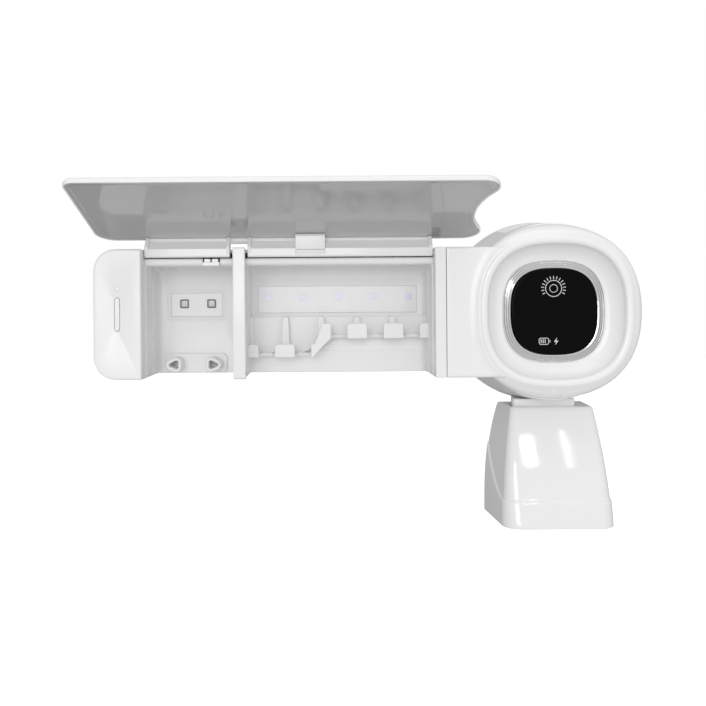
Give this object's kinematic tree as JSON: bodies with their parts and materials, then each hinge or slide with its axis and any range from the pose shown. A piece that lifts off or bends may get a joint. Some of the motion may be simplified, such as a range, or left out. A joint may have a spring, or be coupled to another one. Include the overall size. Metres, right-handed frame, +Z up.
{
  "type": "toothbrush sanitizer",
  "caption": "Wall-mounted holder with a razor bay, a brush bay with stepped slots, a hinged lid, a round display head and a toothpaste dispenser under it.",
  "frame": {"origin": "on the wall plane, at the middle of the unit's width and of the bays' height", "axes": "+X to the right seen from the front, +Y into the wall, +Z up"},
  "size_m": [0.3045, 0.1067, 0.1861],
  "materials": {
    "white_plastic": "gloss",
    "inner_white": "satin",
    "grey_liner": "high gloss",
    "frosted_window": "satin, slightly see-through",
    "black_gloss": "high gloss",
    "chrome_trim": "polished",
    "steel": "plain",
    "board": "matte",
    "led_pack": "gloss",
    "cell_wrap": "gloss shrink film",
    "dark_plastic": "matte",
    "ribbon": "matte",
    "silicone": "soft satin",
    "foam": "matte",
    "bracket_plastic": "matte"
  },
  "bodies": {
    "wall_mount": {"wall_bracket": "bracket_plastic", "adhesive_pads": "foam"},
    "lid": {"lid_shell": "white_plastic", "lid_liner": "grey_liner", "lid_hinge_frame": "white_plastic", "lid_stay_clip": "white_plastic"},
    "mode_key": {"mode_button": "white_plastic"},
    "shroud": {"dispenser_shroud": "white_plastic"},
    "brush_lever": {"push_lever": "inner_white"},
    "main_unit": {"rear_cover": "inner_white", "bay_housing": "inner_white", "left_end_cover": "white_plastic", "divider_wall": "white_plastic", "brush_rack": "inner_white", "razor_hook": "inner_white", "razor_panel": "frosted_window", "uv_window": "frosted_window", "brush_uv_board": "board", "brush_uv_leds": "led_pack", "razor_uv_board": "board", "razor_uv_leds": "led_pack", "lid_sensor": "white_plastic", "status_led": "led_pack", "button_board": "board", "battery_cell": "cell_wrap", "battery_cradle": "dark_plastic", "charge_port": "steel", "ribbon_cable": "ribbon", "housing_screws": "steel", "hinge_pins": "steel", "head_housing": "white_plastic", "head_front_cover": "white_plastic", "display_panel": "black_gloss", "chrome_bezel": "chrome_trim", "control_board": "board", "dispenser_neck": "white_plastic", "tube_seal": "silicone", "pump_body": "inner_white", "pump_bladder": "silicone", "outlet_valve": "silicone", "lever_pin": "steel"}
  },
  "joints": [
    {"name": "lift_off", "type": "slide", "parent": "wall_mount", "child": "main_unit", "axis": [0, 0, 1], "range_m": [0, 0.007]},
    {"name": "lid_hinge", "type": "hinge", "parent": "main_unit", "child": "lid", "pos_m": [0, -0.043, 0.033], "axis": [1, 0, 0], "range_deg": [0, 107.8]},
    {"name": "mode_key_press", "type": "slide", "parent": "main_unit", "child": "mode_key", "axis": [0, 1, 0], "range_m": [0, 0.0006], "stiffness_N_per_m": 1500},
    {"name": "shroud_slide", "type": "slide", "parent": "main_unit", "child": "shroud", "axis": [0, 0, -1], "range_m": [0, 0.06]},
    {"name": "lever_push", "type": "hinge", "parent": "main_unit", "child": "brush_lever", "pos_m": [0.099, -0.02, -0.062], "axis": [1, 0, 0], "range_deg": [0, 8], "stiffness_Nm_per_rad": 0.1, "deforming": ["pump_bladder"]}
  ]
}
